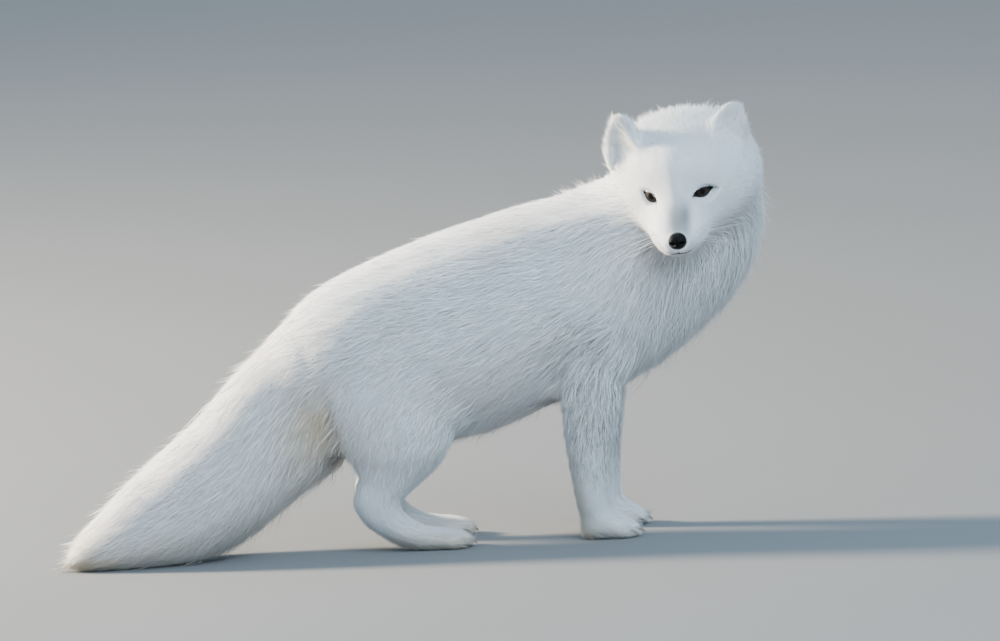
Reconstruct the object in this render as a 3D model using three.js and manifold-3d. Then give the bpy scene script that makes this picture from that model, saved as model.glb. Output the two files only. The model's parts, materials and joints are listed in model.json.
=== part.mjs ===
// An arctic fox in its thick winter coat, life size: it stands with its hindquarters low, its brush laid
// out behind it on the floor, and its head turned to its right. Millimetres, +X the way the trunk points,
// +Y the fox's left, +Z up. The solids give the outline out to the tips of the coat.
import * as THREE from "three";
import { mergeVertices } from "three/addons/utils/BufferGeometryUtils.js";
import Module from "manifold-3d";

const wasm = await Module();
wasm.setup();

// Driving dimensions.
const GAP = 0.35; // between two nodes that meet
const FLOOR_DEPTH = 20; // of what is cut off level with the floor

// The head's own frame: origin midway between the eyes, x to the nose, y to the fox's left, z up.
const HEAD = { at: [285.5, -80, 328], yaw: -96, pitch: 17, roll: 3 };
const EYE = { radius: 9.5, at: [-7, 21.3, 0] };
const EYELIDS = { deep: 11, splay: 27 };
const EYELID_POSES = {
  left: { long: 11, high: 6.2, slant: 12 },
  right: { long: 9.4, high: 5.8, slant: 26 },
};
const NOSE = { at: [52.5, 0.5, -25], half: [7.5, 9.5, 8.5] };
const EAR = { base: [-42, 46, 24], height: 45, backward: 5 };
const EAR_POSES = { left: { outward: 17, turn: 16 }, right: { outward: 5, turn: 26 } };
const EAR_HOLLOW = { share: 0.82, forward: 12 };

// Each leg's own frame: origin on the floor under the wrist or the heel.
const FORELEG = { x: 189, y: 42, leftAhead: 9 };
const HIND_LEG = { x: -20, y: 43, leftAhead: 2 };

const TOES = [-1.5, -0.5, 0.5, 1.5]; // places across a paw, in toe widths
const TOE = { width: 10.5, high: 9, level: 8, outerBehind: 6 };
const CLAW = { length: 9, base: 1.7, tip: 0.5, drop: 4.5, buried: 4.5 };

const SIDES = { left: 1, right: -1 };
const FRONT = new THREE.Vector3(1, 0, 0);
const UP = new THREE.Vector3(0, 0, 1);
const NAPE = new THREE.Vector3(-0.6, 0, 0.8); // square to the neck, on its upper side

const degrees = THREE.MathUtils.degToRad;
const vector = (list) => new THREE.Vector3(...list);

// A station of a loft: its centre, half sizes to the side, up and down, and the powers of its upper and
// lower halves: 2 is round, less is more pointed, more is squarer.
const station = (at, side, up, down = up, topPower = 2, bottomPower = 2) => ({
  at: vector(at),
  half: vector([side, up, down]),
  power: vector([topPower, bottomPower, 0]),
});

// The rings of a rounded end, from the loft's end ring outwards.
const capRings = (ring, length, count) =>
  [...Array(count - 1)].map((_, k) => {
    const turn = ((k + 1) / count) * (Math.PI / 2);
    const centre = ring.centre.clone().addScaledVector(ring.along, length * Math.sin(turn));
    return { ...ring, centre, half: ring.half.clone().multiplyScalar(Math.cos(turn)) };
  });

// The points of one ring: a rounded outline whose upper and lower halves differ.
const ringPoints = (ring, around) =>
  [...Array(around)].map((_, j) => {
    const angle = (j / around) * 2 * Math.PI;
    const power = Math.sin(angle) > 0 ? ring.power.x : ring.power.y;
    const height = Math.sin(angle) > 0 ? ring.half.y : ring.half.z;
    const bent = (value) => Math.sign(value) * Math.abs(value) ** (2 / power);
    return ring.centre
      .clone()
      .addScaledVector(ring.side, ring.half.x * bent(Math.cos(angle)))
      .addScaledVector(ring.up, height * bent(Math.sin(angle)));
  });

// A closed body through the stations, with a rounded end of the given length at each end.
function loft(stations, options) {
  const { around, steps = 1, caps, capSteps = 3, top = UP, swell = 0 } = options;
  const curve = (key) => new THREE.CatmullRomCurve3(stations.map((s) => s[key]));
  const [path, halves, powers] = [curve("at"), curve("half"), curve("power")];
  const count = (stations.length - 1) * steps;
  const middle = [...Array(count + 1)].map((_, i) => {
    const along = path.getTangent(i / count);
    const up = top.clone().addScaledVector(along, -top.dot(along)).normalize();
    const half = halves.getPoint(i / count).addScalar(swell);
    const [centre, power] = [path.getPoint(i / count), powers.getPoint(i / count)];
    return { centre, along, up, side: along.clone().cross(up), half, power };
  });
  const ends = [
    { ring: middle[0], length: -(caps[0] + swell) },
    { ring: middle[count], length: caps[1] + swell },
  ];
  const [before, after] = ends.map((end) => capRings(end.ring, end.length, capSteps));
  const rings = [...before.reverse(), ...middle, ...after];
  const poles = ends.map((end) =>
    end.ring.centre.clone().addScaledVector(end.ring.along, end.length),
  );

  const points = rings.flatMap((ring) => ringPoints(ring, around));
  const [startPole, endPole] = [points.length, points.length + 1];
  const lastRing = (rings.length - 1) * around;
  const index = [];
  for (let j = 0; j < around; j++) {
    const next = (j + 1) % around;
    for (let here = 0; here < lastRing; here += around) {
      const ahead = here + around;
      index.push(here + j, ahead + j, here + next, here + next, ahead + j, ahead + next);
    }
    index.push(startPole, j, next, endPole, lastRing + next, lastRing + j);
  }
  return new THREE.BufferGeometry().setFromPoints([...points, ...poles]).setIndex(index);
}

// A sphere stretched to the three half sizes, turned about x, then y, then z.
function ellipsoid(at, half, { around = 12, rings = 6, turned = [0, 0, 0] } = {}) {
  const rotation = new THREE.Euler(...turned.map(degrees), "ZYX");
  const placed = new THREE.Matrix4().compose(
    vector(at),
    new THREE.Quaternion().setFromEuler(rotation),
    vector(half),
  );
  return new THREE.SphereGeometry(1, around, rings).applyMatrix4(placed);
}

// A geometry as a solid, placed by the matrix of the group that it is drawn in.
function solid(geometry, matrix = new THREE.Matrix4()) {
  const plain = geometry.clone().applyMatrix4(matrix);
  plain.deleteAttribute("normal");
  plain.deleteAttribute("uv");
  const merged = mergeVertices(plain, 1e-4);
  return new wasm.Manifold(
    new wasm.Mesh({
      numProp: 3,
      vertProperties: new Float32Array(merged.attributes.position.array),
      triVerts: new Uint32Array(merged.index.array),
    }),
  );
}

const joined = (solids) => solids.reduce((whole, piece) => whole.add(piece));
const cut = (whole, ...tools) => tools.reduce((left, tool) => left.subtract(tool), whole);

// Trunk: its stations run from the rump to the breast, each at the trunk's widest level.
function trunkSolid(swell = 0) {
  const stations = [
    station([-56, 0, 174], 63, 72, 63),
    station([-20, 0, 182], 73, 84, 78),
    station([25, 0, 188], 75, 96, 87),
    station([70, 0, 194], 76, 104, 95),
    station([105, 0, 204], 78, 103, 91),
    station([150, 0, 218], 78, 101, 89),
    station([190, 0, 228], 75, 99, 93),
    station([228, 0, 226], 70, 94, 86),
  ];
  return solid(loft(stations, { around: 20, steps: 2, caps: [36, 36], swell }));
}

// Neck: it rises from the shoulders and bows a little to the left, outside the turn of the head.
function neckSolid(swell = 0) {
  const stations = [
    station([195, 0, 234], 73, 96, 100),
    station([240, 6, 264], 74, 85, 99),
    station([272, 10, 292], 73, 71, 96),
    station([292, 6, 322], 69, 60, 85),
    station([299, -6, 348], 62, 56, 70),
  ];
  const options = { around: 16, steps: 2, caps: [20, 34], capSteps: 2, top: NAPE, swell };
  return solid(loft(stations, options));
}

// Head: from the muzzle back over the brow and the cheeks to the mane behind the ears.
function headSolid(frame, swell = 0) {
  const stations = [
    station([51, 0, -26], 15, 10, 15),
    station([42, 0, -26], 22, 15, 20, 2, 2.2),
    station([28, 0, -26], 27, 23, 21, 1.8, 2.2),
    station([14, 0, -25], 31, 31, 24, 1.5),
    station([2, 0, -23], 39, 42, 31, 1.25),
    station([-12, 1, -19], 55, 52, 38, 1.45),
    station([-30, 3, -12], 67, 57, 50, 1.75),
    station([-50, 5, -6], 73, 59, 60),
    station([-72, 5, -2], 72, 60, 62),
    station([-92, 4, 2], 63, 54, 56),
  ];
  return solid(loft(stations, { around: 22, steps: 2, caps: [7, 24], swell }), frame);
}

// Ear: a short, broad cup with a round tip, open forwards.
function earSolid(side, frame) {
  const hand = SIDES[side];
  const { base, height, backward } = EAR;
  const { outward, turn } = EAR_POSES[side];
  const cup = (share, forward) => {
    const across = (rise, wide, deep) =>
      station(
        [forward - backward * rise, hand * outward * rise, height * rise],
        wide * share,
        deep * share,
      );
    const stations = [
      across(-0.5, 20, 13),
      across(-0.1, 25, 14),
      across(0.35, 22.5, 12),
      across(0.7, 14.5, 8),
    ];
    return loft(stations, { around: 14, caps: [4, height * 0.3 * share], top: FRONT });
  };
  const placed = frame
    .clone()
    .multiply(new THREE.Matrix4().makeTranslation(base[0], hand * base[1], base[2]))
    .multiply(new THREE.Matrix4().makeRotationZ(hand * degrees(turn)));
  const hollow = cup(EAR_HOLLOW.share, EAR_HOLLOW.forward);
  return cut(solid(cup(1, 0), placed), solid(hollow, placed));
}

const eyeSolid = (hand, frame, swell = 0) => {
  const [x, y, z] = EYE.at;
  return solid(ellipsoid([x, hand * y, z], Array(3).fill(EYE.radius + swell)), frame);
};

// The opening between an eye's lids: longer than high, its outer corner the higher one.
const lidOpening = (side, frame) => {
  const [x, y, z] = EYE.at;
  const hand = SIDES[side];
  const { long, high, slant } = EYELID_POSES[side];
  const splay = hand * degrees(EYELIDS.splay);
  const reach = EYE.radius;
  const at = [x + reach * Math.cos(splay), hand * y + reach * Math.sin(splay), z];
  const turned = [hand * slant, 0, hand * EYELIDS.splay];
  return solid(ellipsoid(at, [EYELIDS.deep, long, high], { turned }), frame);
};

const noseSolid = (frame, swell = 0) => {
  const half = NOSE.half.map((size) => size + swell);
  return solid(ellipsoid(NOSE.at, half), frame);
};

// Brush: its long underside fur meets the thighs at the root; it comes down and lies on the floor.
function brushSolid(swell = 0) {
  const stations = [
    station([-55, 0, 186], 44, 52, 50),
    station([-95, -2, 145], 50, 58, 80),
    station([-112, -4, 124], 52, 60, 80),
    station([-128, -6, 104], 55, 61, 63),
    station([-170, -13, 68], 57, 61, 59),
    station([-215, -22, 45], 53, 54, 56),
    station([-258, -31, 27], 42, 38, 32),
    station([-291, -36, 15], 27, 22, 18),
  ];
  return solid(loft(stations, { around: 16, steps: 2, caps: [20, 23], swell }));
}

// Toes and claws of a paw whose toes' middles are at x from the leg's origin.
const toePoints = (x) =>
  TOES.map((place) => {
    const behind = Math.abs(place) > 1 ? TOE.outerBehind : 0;
    return vector([x - behind, place * TOE.width, TOE.level]);
  });

const toeSolid = (toe, length, frame, swell) => {
  const half = [length, TOE.width * 0.62, TOE.high].map((size) => size + swell);
  return solid(ellipsoid(toe.toArray(), half, { around: 6, rings: 5 }), frame);
};

function clawSolid(toe, length, frame, swell = 0) {
  const stations = [0, 0.5, 1].map((share) => {
    const thick = CLAW.base + (CLAW.tip - CLAW.base) * share;
    const x = toe.x + length - CLAW.buried + CLAW.length * share;
    return station([x, toe.y, toe.z - CLAW.drop * share ** 2], thick * 0.7, thick);
  });
  return solid(loft(stations, { around: 6, caps: [0.5, 0.4], capSteps: 1, swell }), frame);
}

// Foreleg: the shoulder end is hidden in the trunk; the paw points forwards.
function forelegSolids(hand, frame, step, swell = 0) {
  const column = [
    station([-9 - step, hand * -8, 215], 30, 42),
    station([-2 - step * 0.7, hand * -2, 172], 27, 39, 36),
    station([3 - step * 0.4, 0, 137], 23, 32, 29),
    station([-1, 0, 104], 20, 26, 25),
    station([-1, 0, 75], 18, 21.5),
    station([0, 0, 48], 17, 19),
    station([2, 0, 22], 17, 17),
  ];
  const paw = [
    station([-8, 0, 12], 15, 11, 14),
    station([11, 0, 12], 20, 15, 14),
    station([26, 0, 10], 20, 12, 12),
  ];
  const shapes = [
    loft(column, { around: 12, caps: [12, 16], capSteps: 2, top: FRONT, swell }),
    loft(paw, { around: 10, caps: [8, 10], capSteps: 2, swell }),
  ];
  return { shapes: shapes.map((shape) => solid(shape, frame)), toesAt: 29, toeLength: 13 };
}

// Hind leg: a broad thigh, a short shank down to the raised heel, and a long foot.
function hindLegSolids(hand, frame, step, swell = 0) {
  const thigh = [
    station([-2 - step, hand * -18, 218], 32, 50),
    station([6 - step, hand * -8, 176], 38, 66, 60),
    station([17 - step, hand * -2, 136], 38, 67, 60),
    station([23 - step * 0.8, 0, 106], 34, 64, 54),
    station([22 - step * 0.5, 0, 86], 28, 47, 44),
  ];
  const shank = [
    station([42 - step * 0.5, 0, 98], 24, 30),
    station([20, 0, 76], 20, 26),
    station([0, 0, 54], 16, 23),
  ];
  const foot = [
    station([0, 0, 54], 16, 22, 23),
    station([7, 0, 36], 15, 19, 20),
    station([23, 0, 20], 15, 15, 15),
    station([44, 0, 11], 17, 12, 13),
    station([64, 0, 9], 20, 11, 11),
    station([76, 0, 8], 20, 9, 10),
  ];
  const shapes = [
    loft(thigh, { around: 12, caps: [12, 17], capSteps: 2, top: FRONT, swell }),
    loft(shank, { around: 10, caps: [14, 16], capSteps: 2, top: FRONT, swell }),
    loft(foot, { around: 10, caps: [14, 9], capSteps: 2, swell }),
  ];
  return { shapes: shapes.map((shape) => solid(shape, frame)), toesAt: 78, toeLength: 13 };
}

// A whole leg, its claws, and the room that its neighbours leave for it.
function makeLeg(name, { x, y, leftAhead }, hand, solids) {
  const step = hand > 0 ? leftAhead : 0;
  const group = new THREE.Group();
  group.position.set(x + step, hand * y, 0);
  group.updateMatrixWorld(true);
  const frame = group.matrixWorld;
  const whole = (swell) => {
    const { shapes, toesAt, toeLength } = solids(hand, frame, step, swell);
    const toes = toePoints(toesAt);
    const pads = toes.map((toe) => toeSolid(toe, toeLength, frame, swell));
    const claws = (room) => toes.map((toe) => clawSolid(toe, toeLength, frame, room));
    return { leg: joined([...shapes, ...pads]), claws };
  };
  const { leg, claws } = whole(0);
  return { name, group, leg, claws: claws(0), clawRooms: claws(GAP), room: whole(GAP).leg };
}

const coat = new THREE.MeshStandardMaterial({ color: 0xeeede6, roughness: 0.95, metalness: 0 });
const iris = new THREE.MeshStandardMaterial({ color: 0x2e2013, roughness: 0.15, metalness: 0 });
const leather = new THREE.MeshStandardMaterial({ color: 0x0d0c0c, roughness: 0.45, metalness: 0 });
const horn = new THREE.MeshStandardMaterial({ color: 0x4a3a2c, roughness: 0.4, metalness: 0 });

// Adds the main body of a solid to a group, as a mesh placed at its own middle.
function add(group, name, whole, material) {
  const [made] = whole.decompose().sort((a, b) => b.volume() - a.volume());
  const { vertProperties, triVerts } = made.getMesh();
  const geometry = new THREE.BufferGeometry();
  geometry.setAttribute("position", new THREE.BufferAttribute(vertProperties, 3));
  geometry.setIndex(new THREE.BufferAttribute(triVerts, 1));
  geometry.applyMatrix4(group.matrixWorld.clone().invert());
  geometry.computeBoundingBox();
  const middle = geometry.boundingBox.getCenter(new THREE.Vector3());
  geometry.translate(-middle.x, -middle.y, -middle.z);
  geometry.computeVertexNormals();
  const mesh = new THREE.Mesh(geometry, material);
  mesh.name = name;
  mesh.position.copy(middle);
  group.add(mesh);
}

const fox = new THREE.Group();
const headGroup = new THREE.Group();
const turned = [HEAD.roll, HEAD.pitch, HEAD.yaw].map(degrees);
headGroup.position.set(...HEAD.at);
headGroup.rotation.set(...turned, "ZYX");
headGroup.updateMatrixWorld(true);
const headFrame = headGroup.matrixWorld;

// The trunk is whole; each of the others is cut where it meets one made before it.
const floor = solid(new THREE.BoxGeometry(2000, 2000, FLOOR_DEPTH).translate(0, 0, -FLOOR_DEPTH / 2));
const trunkRoom = trunkSolid(GAP);
const neckRoom = neckSolid(GAP);
const headRoom = headSolid(headFrame, GAP);
const legs = Object.entries(SIDES).flatMap(([side, hand]) => [
  makeLeg(`front_${side}`, FORELEG, hand, forelegSolids),
  makeLeg(`hind_${side}`, HIND_LEG, hand, hindLegSolids),
]);

add(fox, "trunk", trunkSolid(), coat);
add(fox, "neck", cut(neckSolid(), trunkRoom, headRoom), coat);
add(fox, "tail", cut(brushSolid(), trunkRoom, floor, ...legs.map((leg) => leg.room)), coat);

for (const { name, group, leg, claws, clawRooms } of legs) {
  add(group, `leg_${name}`, cut(leg, trunkRoom, floor, ...clawRooms), coat);
  claws.forEach((claw, k) => add(group, `claw_${name}_${k + 1}`, claw, horn));
  fox.add(group);
}

const sockets = Object.entries(SIDES).flatMap(([side, hand]) => [
  eyeSolid(hand, headFrame, GAP),
  lidOpening(side, headFrame),
]);
const nosePit = noseSolid(headFrame, GAP);
add(headGroup, "head", cut(headSolid(headFrame), trunkRoom, nosePit, ...sockets), coat);
add(headGroup, "nose", noseSolid(headFrame), leather);
for (const [side, hand] of Object.entries(SIDES)) {
  add(headGroup, `ear_${side}`, cut(earSolid(side, headFrame), headRoom, neckRoom), coat);
  add(headGroup, `eye_${side}`, eyeSolid(hand, headFrame), iris);
}
fox.add(headGroup);

// The origin is on the floor, under the middle of the whole fox.
const middle = new THREE.Box3().setFromObject(fox, true).getCenter(new THREE.Vector3());
fox.position.set(-middle.x, -middle.y, 0);

export default fox;
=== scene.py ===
"""An arctic fox in winter coat: one skin, its eyes, nose, claws and whiskers, and a coat of solid tufts."""

import json
import math

import bmesh
import bpy
import numpy as np
from mathutils import Matrix, Vector, kdtree
from mathutils.bvhtree import BVHTree

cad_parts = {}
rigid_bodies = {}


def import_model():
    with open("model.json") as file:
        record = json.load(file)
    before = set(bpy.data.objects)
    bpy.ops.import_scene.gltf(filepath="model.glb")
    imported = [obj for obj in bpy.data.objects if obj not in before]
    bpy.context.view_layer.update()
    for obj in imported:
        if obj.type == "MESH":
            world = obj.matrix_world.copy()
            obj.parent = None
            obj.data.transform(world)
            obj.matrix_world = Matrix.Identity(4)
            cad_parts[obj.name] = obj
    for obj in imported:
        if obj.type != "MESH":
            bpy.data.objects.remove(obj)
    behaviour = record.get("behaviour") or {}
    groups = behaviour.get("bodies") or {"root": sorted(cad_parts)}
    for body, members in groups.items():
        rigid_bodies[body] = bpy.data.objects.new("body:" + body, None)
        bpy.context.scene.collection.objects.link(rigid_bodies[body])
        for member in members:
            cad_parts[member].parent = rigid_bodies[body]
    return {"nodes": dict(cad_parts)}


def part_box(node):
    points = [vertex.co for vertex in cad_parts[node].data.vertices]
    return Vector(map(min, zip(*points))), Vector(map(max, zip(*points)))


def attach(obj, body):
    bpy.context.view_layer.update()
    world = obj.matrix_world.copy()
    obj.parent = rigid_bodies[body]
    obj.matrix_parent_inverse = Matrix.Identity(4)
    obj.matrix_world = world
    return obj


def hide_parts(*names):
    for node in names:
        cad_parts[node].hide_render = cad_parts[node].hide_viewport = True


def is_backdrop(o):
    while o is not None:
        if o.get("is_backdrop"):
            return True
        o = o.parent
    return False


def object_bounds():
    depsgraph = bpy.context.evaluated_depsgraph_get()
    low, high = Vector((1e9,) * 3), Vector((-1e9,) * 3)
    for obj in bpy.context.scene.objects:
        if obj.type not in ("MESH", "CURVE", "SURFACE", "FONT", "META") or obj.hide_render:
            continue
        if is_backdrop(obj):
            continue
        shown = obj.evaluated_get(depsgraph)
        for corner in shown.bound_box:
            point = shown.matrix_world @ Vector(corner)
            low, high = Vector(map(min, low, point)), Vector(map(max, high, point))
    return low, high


for left_over in list(bpy.data.objects):
    bpy.data.objects.remove(left_over)
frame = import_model()
cad_low, cad_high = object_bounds()

MM = 0.001
SEED = 11
FLOOR_GAP = 0.8 * MM
# A distance in millimetres beyond anything on the head.
FAR = 99.0
SIDES = {"left": 1, "right": -1}
FLESH = [
    "trunk", "neck", "head", "tail", "ear_left", "ear_right",
    "leg_front_left", "leg_front_right", "leg_hind_left", "leg_hind_right",
]
rng = np.random.default_rng(SEED)
norm = np.linalg.norm


# ---------------- small helpers
def step(value, start, end):
    """0 at start, 1 at end, smooth between; start may be the larger."""
    t = np.clip((np.asarray(value, float) - start) / (end - start), 0, 1)
    return t * t * (3 - 2 * t)


def window(value, start, full, fall, end):
    """Rises from start to full, and falls again from fall to end."""
    return step(value, start, full) * step(value, end, fall)


def bell(value, width):
    return np.exp(-((value / width) ** 2))


def unit(v):
    return v / np.maximum(norm(v, axis=-1, keepdims=True), 1e-12)


def across(v, n):
    """The part of v square to n, as unit vectors."""
    return unit(v - n * np.sum(v * n, axis=1, keepdims=True))


def middle_of(node):
    low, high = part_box(node)
    return np.array((low + high) / 2)


def mix(a, b, share):
    share = np.asarray(share)
    if np.ndim(a) > 1 or np.ndim(b) > 1:
        share = share[:, None]
    return a * (1 - share) + b * share


# ---------------- the head's own frame
# Origin between the eyes, x to the nose, y to the fox's left, z up; millimetres.
EYE_BACK = 7.0
NOSE_AT = np.array([52.5, 0.5, -25.0])
eye_left, eye_right, nose_middle = (middle_of(node) for node in ("eye_left", "eye_right", "nose"))
eye_middle = (eye_left + eye_right) / 2
eye_gap = norm(eye_left - eye_right)
head_y = (eye_left - eye_right) / eye_gap
to_nose = nose_middle - eye_middle
to_nose = unit(to_nose - head_y * (to_nose @ head_y))
side_up = np.cross(to_nose, head_y)
droop = math.atan2(-NOSE_AT[2], NOSE_AT[0] + EYE_BACK)
head_x = to_nose * math.cos(droop) + side_up * math.sin(droop)
head_z = np.cross(head_x, head_y)
head_axes = np.array([head_x, head_y, head_z])
head_at = eye_middle + head_x * EYE_BACK * MM
# The trunk's frame, in which the body's lengths are given: the head's origin sits here in it.
HEAD_IN_TRUNK = np.array([285.5, -80.0, 328.0])
trunk_at = head_at - HEAD_IN_TRUNK * MM


def in_head(points):
    return (points - head_at) @ head_axes.T / MM


def from_head(local):
    return np.asarray(local) * MM @ head_axes + head_at


def in_trunk(points):
    return (points - trunk_at) / MM


# ---------------- meshes as arrays
def arrays_of(mesh):
    points = np.zeros(len(mesh.vertices) * 3)
    mesh.vertices.foreach_get("co", points)
    mesh.calc_loop_triangles()
    triangles = np.zeros(len(mesh.loop_triangles) * 3, np.int32)
    mesh.loop_triangles.foreach_get("vertices", triangles)
    return points.reshape(-1, 3), triangles.reshape(-1, 3)


def linked(name, data):
    """A new object in the scene, with its data."""
    obj = bpy.data.objects.new(name, data)
    bpy.context.scene.collection.objects.link(obj)
    return obj


def new_object(name, points, triangles):
    mesh = bpy.data.meshes.new(name)
    mesh.vertices.add(len(points))
    mesh.vertices.foreach_set("co", np.asarray(points, np.float32).ravel())
    mesh.loops.add(len(triangles) * 3)
    mesh.loops.foreach_set("vertex_index", np.asarray(triangles, np.int32).ravel())
    mesh.polygons.add(len(triangles))
    mesh.polygons.foreach_set("loop_start", np.arange(0, len(triangles) * 3, 3, dtype=np.int32))
    mesh.update(calc_edges=True)
    mesh.validate()
    mesh.shade_smooth()
    return linked(name, mesh)


def stacked(meshes):
    """The points and triangles of several meshes as those of one."""
    points, triangles = zip(*meshes)
    bases = np.cumsum([0] + [len(part) for part in points])
    return np.concatenate(points), np.concatenate([part + base for part, base in zip(triangles, bases)])


def vertex_normals(points, triangles):
    a, b, c = (points[triangles[:, k]] for k in range(3))
    face = np.cross(b - a, c - a)
    total = np.zeros_like(points)
    for k in range(3):
        for axis in range(3):
            total[:, axis] += np.bincount(triangles[:, k], face[:, axis], len(points))
    return unit(total)


def edges_of(triangles):
    pairs = np.concatenate([triangles[:, [0, 1]], triangles[:, [1, 2]], triangles[:, [2, 0]]])
    return np.unique(np.sort(pairs, axis=1), axis=0)


def bands(rings, around, closed=False):
    """The triangles between each ring of points and the next, and round to the first if closed."""
    triangles = []
    for ring in range(rings if closed else rings - 1):
        for k in range(around):
            a, b = ring * around + k, ring * around + (k + 1) % around
            c, d = ((point + around) % (rings * around) for point in (a, b))
            triangles += [[a, b, c], [b, d, c]]
    return triangles


def smoothed(values, edges, rounds, share=0.5, where=1.0):
    """Values at the vertices, each moved towards its neighbours' mean."""
    flat = values.reshape(len(values), -1).astype(float)
    start, end = np.concatenate([edges, edges[:, ::-1]]).T
    count = np.maximum(np.bincount(start, minlength=len(flat)), 1)
    weight = share * np.broadcast_to(where, len(flat))
    for _ in range(rounds):
        for k in range(flat.shape[1]):
            mean = np.bincount(start, flat[end, k], len(flat)) / count
            flat[:, k] += weight * (mean - flat[:, k])
    return flat.reshape(values.shape)


def faired(points, edges, rounds, where=1.0):
    """Points smoothed without shrinking the shape: each step in is followed by one out."""
    for _ in range(rounds):
        points = smoothed(points, edges, 1, 0.62, where)
        points = smoothed(points, edges, 1, -0.65, where)
    return points


def largest_piece(points, triangles):
    """Only the biggest of the separate shells."""
    label = np.arange(len(points))
    edges = edges_of(triangles)
    while True:
        low = np.minimum(label[edges[:, 0]], label[edges[:, 1]])
        before = label.copy()
        np.minimum.at(label, edges[:, 0], low)
        np.minimum.at(label, edges[:, 1], low)
        label = label[label]
        if (label == before).all():
            break
    keep = label == np.bincount(label).argmax()
    number = np.cumsum(keep) - 1
    return points[keep], number[triangles[keep[triangles[:, 0]]]]


# ---------------- skin
VOXEL = 3.4 * MM
# The nodes are swollen by this much, so that the cuts between them close.
OVERLAP = 0.5 * MM
# The box in the head's frame, in millimetres, in which the skin is made finer, and by how many cuts.
FACE_LOW = [-24, -44, -52]
FACE_HIGH = [FAR, 44, 22]
FACE_CUTS = 3


def merged(name, nodes, swell=0.0):
    """Some nodes as one object, each closed up and a little swollen."""
    build = bmesh.new()
    for node in nodes:
        part = bmesh.new()
        part.from_mesh(frame["nodes"][node].data)
        bmesh.ops.remove_doubles(part, verts=part.verts, dist=1e-6)
        part.normal_update()
        for vert in part.verts:
            vert.co += vert.normal * swell
        spare = bpy.data.meshes.new(node + "_part")
        part.to_mesh(spare)
        part.free()
        build.from_mesh(spare)
        bpy.data.meshes.remove(spare)
    mesh = bpy.data.meshes.new(name)
    build.to_mesh(mesh)
    build.free()
    return linked(name, mesh)


def modified(obj, kind, **settings):
    """The mesh of an object after one modifier; the object itself goes."""
    modifier = obj.modifiers.new(kind, kind)
    for key, value in settings.items():
        setattr(modifier, key, value)
    depsgraph = bpy.context.evaluated_depsgraph_get()
    mesh = bpy.data.meshes.new_from_object(obj.evaluated_get(depsgraph))
    bpy.data.objects.remove(obj)
    return mesh


def face_region(points):
    local = in_head(points)
    return ((local > FACE_LOW) & (local < FACE_HIGH)).all(axis=1)


def refine(mesh):
    """Splits the face's quads into finer ones, then makes everything triangles."""
    build = bmesh.new()
    build.from_mesh(mesh)
    chosen = face_region(np.array([face.calc_center_median() for face in build.faces]))
    edges = list({edge for face, take in zip(build.faces, chosen) if take for edge in face.edges})
    bmesh.ops.subdivide_edges(build, edges=edges, cuts=FACE_CUTS, use_grid_fill=True)
    bmesh.ops.triangulate(build, faces=build.faces)
    build.to_mesh(mesh)
    build.free()


flesh = merged("flesh", [*FLESH, "eye_left", "eye_right", "nose"], OVERLAP)
flesh_mesh = modified(flesh, "REMESH", mode="VOXEL", voxel_size=VOXEL)
refine(flesh_mesh)
skin_points, skin_triangles = largest_piece(*arrays_of(flesh_mesh))
bpy.data.meshes.remove(flesh_mesh)
skin_edges = edges_of(skin_triangles)

# Which node each point of the skin belongs to: the nearest one.
node_meshes = [arrays_of(frame["nodes"][name].data) for name in FLESH]
flesh_tree = BVHTree.FromPolygons(*(part.tolist() for part in stacked(node_meshes)))
node_of_face = np.repeat(np.arange(len(FLESH)), [len(triangles) for _, triangles in node_meshes])
nearest_face = [flesh_tree.find_nearest(Vector(p))[2] for p in skin_points]
skin_node = node_of_face[nearest_face]
node_share = np.stack([skin_node == k for k in range(len(FLESH))], axis=1)
node_share = smoothed(node_share, skin_edges, 14)


def share_of(*names):
    """How much each point of the skin belongs to some nodes together."""
    return sum(node_share[:, FLESH.index(name)] for name in names)


# The outer surface: the coat's outline with its steps smoothed away.
OUTER_ROUNDS = 14
face_fine = smoothed(face_region(skin_points), skin_edges, 4)
outer = faired(skin_points, skin_edges, OUTER_ROUNDS, 1 - 0.4 * share_of("ear_left", "ear_right"))
outer_normals = vertex_normals(outer, skin_triangles)
hx, hy, hz = in_head(outer).T
tx, _, tz = in_trunk(outer).T
is_head, is_neck, is_trunk, is_tail = (share_of(name) for name in ("head", "neck", "trunk", "tail"))
is_ear, is_front_leg, is_hind_leg = (
    share_of(name + "_left", name + "_right") for name in ("ear", "leg_front", "leg_hind")
)
is_leg = is_front_leg + is_hind_leg

# The ears' hollows hold long fur, which fills them nearly to the rims; their backs are close furred.
EAR_FILL = 5.5
EAR_TRIM = 2.2
inner_ear = is_ear * step(outer_normals @ head_x, 0.0, 0.6)
ear_rise = smoothed(inner_ear * step(hz, 62, 50), skin_edges, 3) * EAR_FILL
ear_fall = EAR_TRIM * is_ear * (1 - inner_ear)
outer = outer + np.outer(ear_rise, head_x) * MM - outer_normals * ear_fall[:, None] * MM

# ---------------- the coat's length and depth, in mm
def ramped(base, *ramps):
    """A base and what ramps add: how much more, along which coordinate, from where and up to where."""
    for more, place, start, end in ramps:
        base = base + more * step(place, start, end)
    return base


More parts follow.
